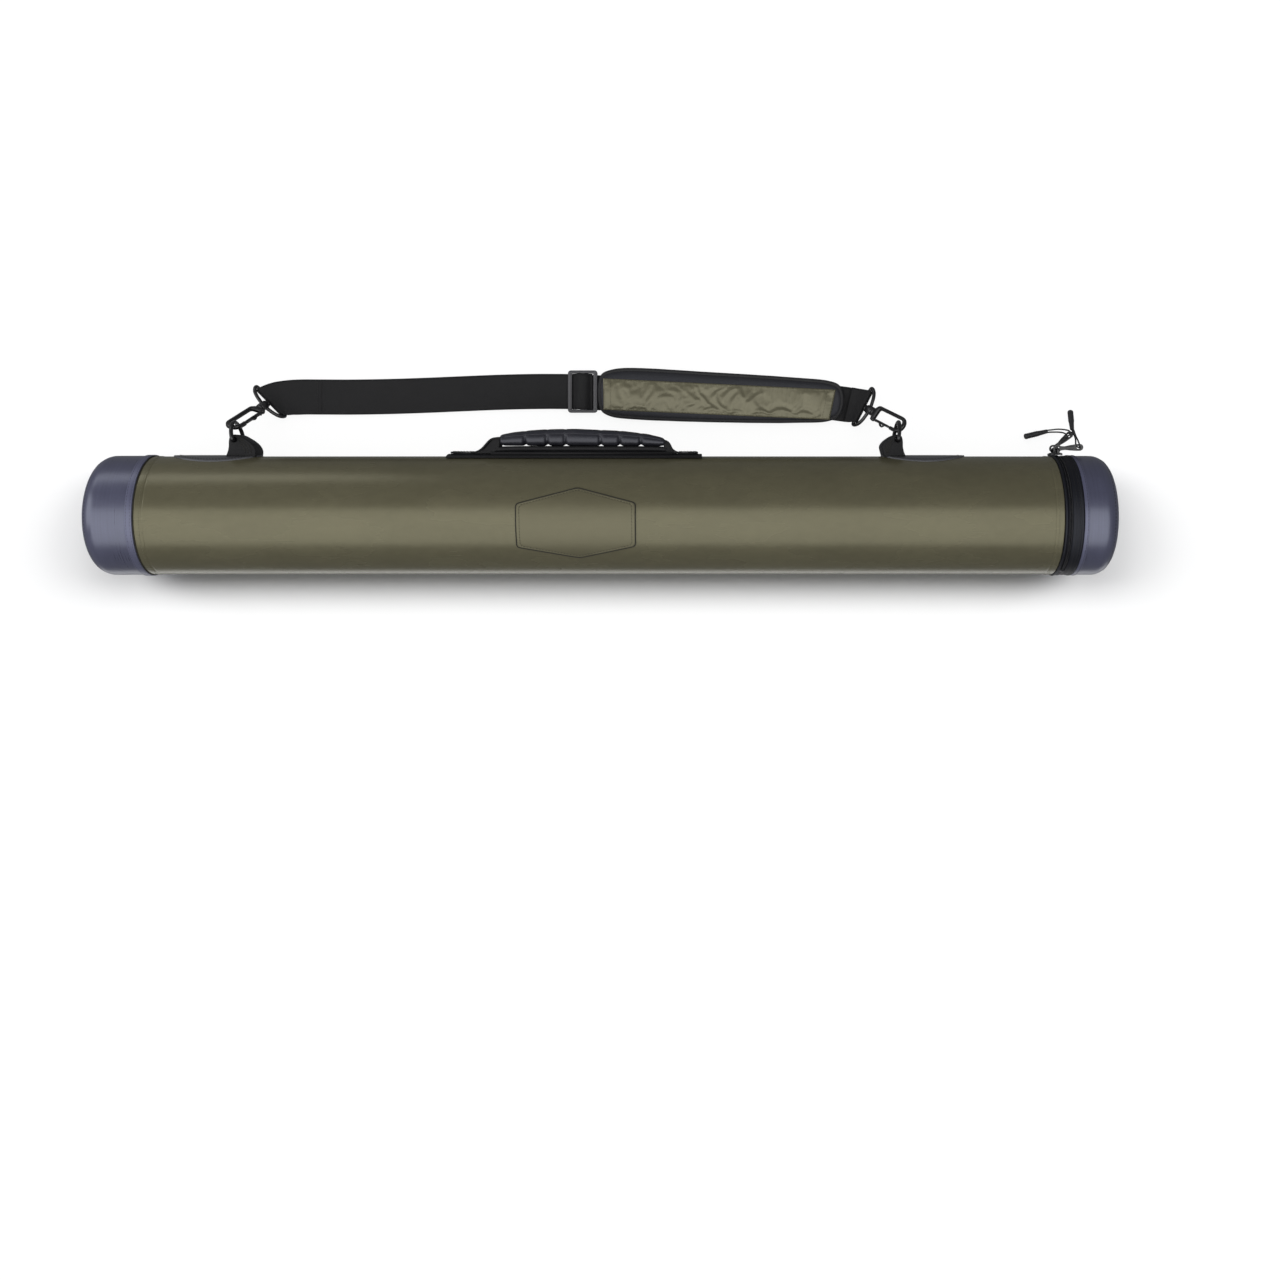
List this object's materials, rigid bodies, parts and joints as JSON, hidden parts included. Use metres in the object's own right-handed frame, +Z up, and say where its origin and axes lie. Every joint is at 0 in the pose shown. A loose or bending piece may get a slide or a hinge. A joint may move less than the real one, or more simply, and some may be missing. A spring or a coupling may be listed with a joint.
{
  "type": "rod case",
  "caption": "Padded hard-tube rod case with a zipped end lid, carry handle and clip-on padded shoulder strap.",
  "frame": {"origin": "on the floor under the middle of the whole object, case and laid-out strap together", "axes": "+X along the tube towards the zipped lid, +Y towards the handle and strap, +Z up, with the badge facing up"},
  "size_m": [1.01, 0.2134, 0.1218],
  "materials": {
    "olive_fabric": "coated nylon weave",
    "slate_fabric": "coated grained fabric",
    "black_webbing": "woven webbing",
    "black_tape": "zip tape",
    "zip_coil": "moulded nylon coil",
    "black_metal": "gloss black",
    "black_plastic": "moulded acetal",
    "grip_rubber": "satin moulded",
    "pull_rubber": "satin moulded",
    "pull_cord": "braided cord",
    "pipe": "extruded",
    "foam": "closed-cell foam",
    "lining": "smooth lining"
  },
  "bodies": {
    "case": {"inner_tube": "pipe", "tube_lining": "lining", "foam_wrap": "foam", "outer_sleeve": "olive_fabric", "base_cap": "slate_fabric", "base_cap_hem": "slate_fabric", "base_end_padding": "foam", "base_end_disc": "pipe", "base_foam_pad": "foam", "body_zip_tape": "black_tape", "body_zip_coil": "zip_coil", "lid_hinge_tape": "black_tape", "badge_patch": "olive_fabric", "anchor_patch_left": "slate_fabric", "anchor_patch_right": "slate_fabric", "handle_base": "black_webbing", "ring_tab_left": "black_webbing", "ring_tab_right": "black_webbing"},
    "lid": {"lid_shell": "slate_fabric", "lid_zip_tape": "black_tape", "lid_zip_coil": "zip_coil", "lid_inner_cup": "pipe", "lid_foam_wrap": "foam", "lid_end_padding": "foam", "lid_foam_pad": "foam"},
    "slider_a": {"zip_slider_a": "black_metal"},
    "slider_b": {"zip_slider_b": "black_metal"},
    "tab_a": {"pull_tab_a": "black_metal", "pull_cord_a": "pull_cord", "pull_end_a": "pull_rubber"},
    "tab_b": {"pull_tab_b": "black_metal", "pull_cord_b": "pull_cord", "pull_end_b": "pull_rubber"},
    "handle": {"handle_webbing": "black_webbing", "handle_grip": "grip_rubber"},
    "ring_left": {"strap_ring_left": "black_metal"},
    "ring_right": {"strap_ring_right": "black_metal"},
    "strap": {"strap_webbing": "black_webbing", "strap_eye_left": "black_metal", "strap_eye_right": "black_metal", "pad_binding": "black_webbing", "shoulder_pad": "foam", "pad_panel": "olive_fabric"},
    "adjuster": {"strap_adjuster": "black_plastic"},
    "hook_left": {"snap_hook_left": "black_metal"},
    "hook_right": {"snap_hook_right": "black_metal"},
    "gate_left": {"hook_gate_left": "black_metal"},
    "gate_right": {"hook_gate_right": "black_metal"}
  },
  "joints": [
    {"name": "lid_hinge", "type": "hinge", "parent": "case", "child": "lid", "pos_m": [0.4548, -0.1071, 0.0609], "axis": [0, 0, -1], "range_deg": [0, 110], "deforming": ["lid_hinge_tape"]},
    {"name": "zip_a_travel", "type": "hinge", "parent": "case", "child": "slider_a", "pos_m": [0.4548, -0.0458, 0.0609], "axis": [1, 0, 0], "range_deg": [0, 130]},
    {"name": "zip_b_travel", "type": "hinge", "parent": "case", "child": "slider_b", "pos_m": [0.4548, -0.0458, 0.0609], "axis": [1, 0, 0], "range_deg": [-130, 0]},
    {"name": "pull_tab_a_swing", "type": "hinge", "parent": "slider_a", "child": "tab_a", "pos_m": [0.4548, 0.02125, 0.06866], "axis": [0, -0.1149, 0.9934], "range_deg": [0, 140], "deforming": ["pull_cord_a"]},
    {"name": "pull_tab_b_swing", "type": "hinge", "parent": "slider_b", "child": "tab_b", "pos_m": [0.4548, 0.02125, 0.05314], "axis": [0, 0.1149, 0.9934], "range_deg": [-35, 110], "deforming": ["pull_cord_b"]},
    {"name": "handle_tilt", "type": "hinge", "parent": "case", "child": "handle", "pos_m": [-0.028, 0.0178, 0.0609], "axis": [1, 0, 0], "range_deg": [-25, 25], "stiffness_Nm_per_rad": 0.5, "deforming": ["handle_webbing"]},
    {"name": "ring_left_pivot", "type": "hinge", "parent": "case", "child": "ring_left", "pos_m": [-0.3684, 0.0302, 0.0609], "axis": [0, 0, 1], "range_deg": [-5, 2]},
    {"name": "ring_right_pivot", "type": "hinge", "parent": "case", "child": "ring_right", "pos_m": [0.2944, 0.0302, 0.0609], "axis": [0, 0, 1], "range_deg": [-3, 2]},
    {"name": "strap_swing", "type": "hinge", "parent": "case", "child": "strap", "pos_m": [0, 0.0302, 0.0609], "axis": [1, 0, 0], "range_deg": [0, 45]},
    {"name": "adjuster_slide", "type": "slide", "parent": "strap", "child": "adjuster", "axis": [-0.9999, -0.012, 0], "range_m": [0, 0.12]},
    {"name": "hook_left_swivel", "type": "hinge", "parent": "strap", "child": "hook_left", "pos_m": [-0.35728, 0.0656, 0.01886], "axis": [-0.347, -0.4301, 0.8334], "range_deg": [-12, 5]},
    {"name": "gate_left_open", "type": "hinge", "parent": "hook_left", "child": "gate_left", "pos_m": [-0.35507, 0.05877, 0.03018], "axis": [-0.1229, -0.8601, -0.4951], "range_deg": [0, 18], "stiffness_Nm_per_rad": 0.05, "springref_deg": -14.32},
    {"name": "hook_right_swivel", "type": "hinge", "parent": "strap", "child": "hook_right", "pos_m": [0.2747, 0.06133, 0.0196], "axis": [0.5163, -0.345, 0.7838], "range_deg": [-12, 5]},
    {"name": "gate_right_open", "type": "hinge", "parent": "hook_right", "child": "gate_right", "pos_m": [0.27697, 0.05176, 0.02869], "axis": [-0.6517, 0.4355, 0.621], "range_deg": [0, 18], "stiffness_Nm_per_rad": 0.05, "springref_deg": -14.32}
  ]
}
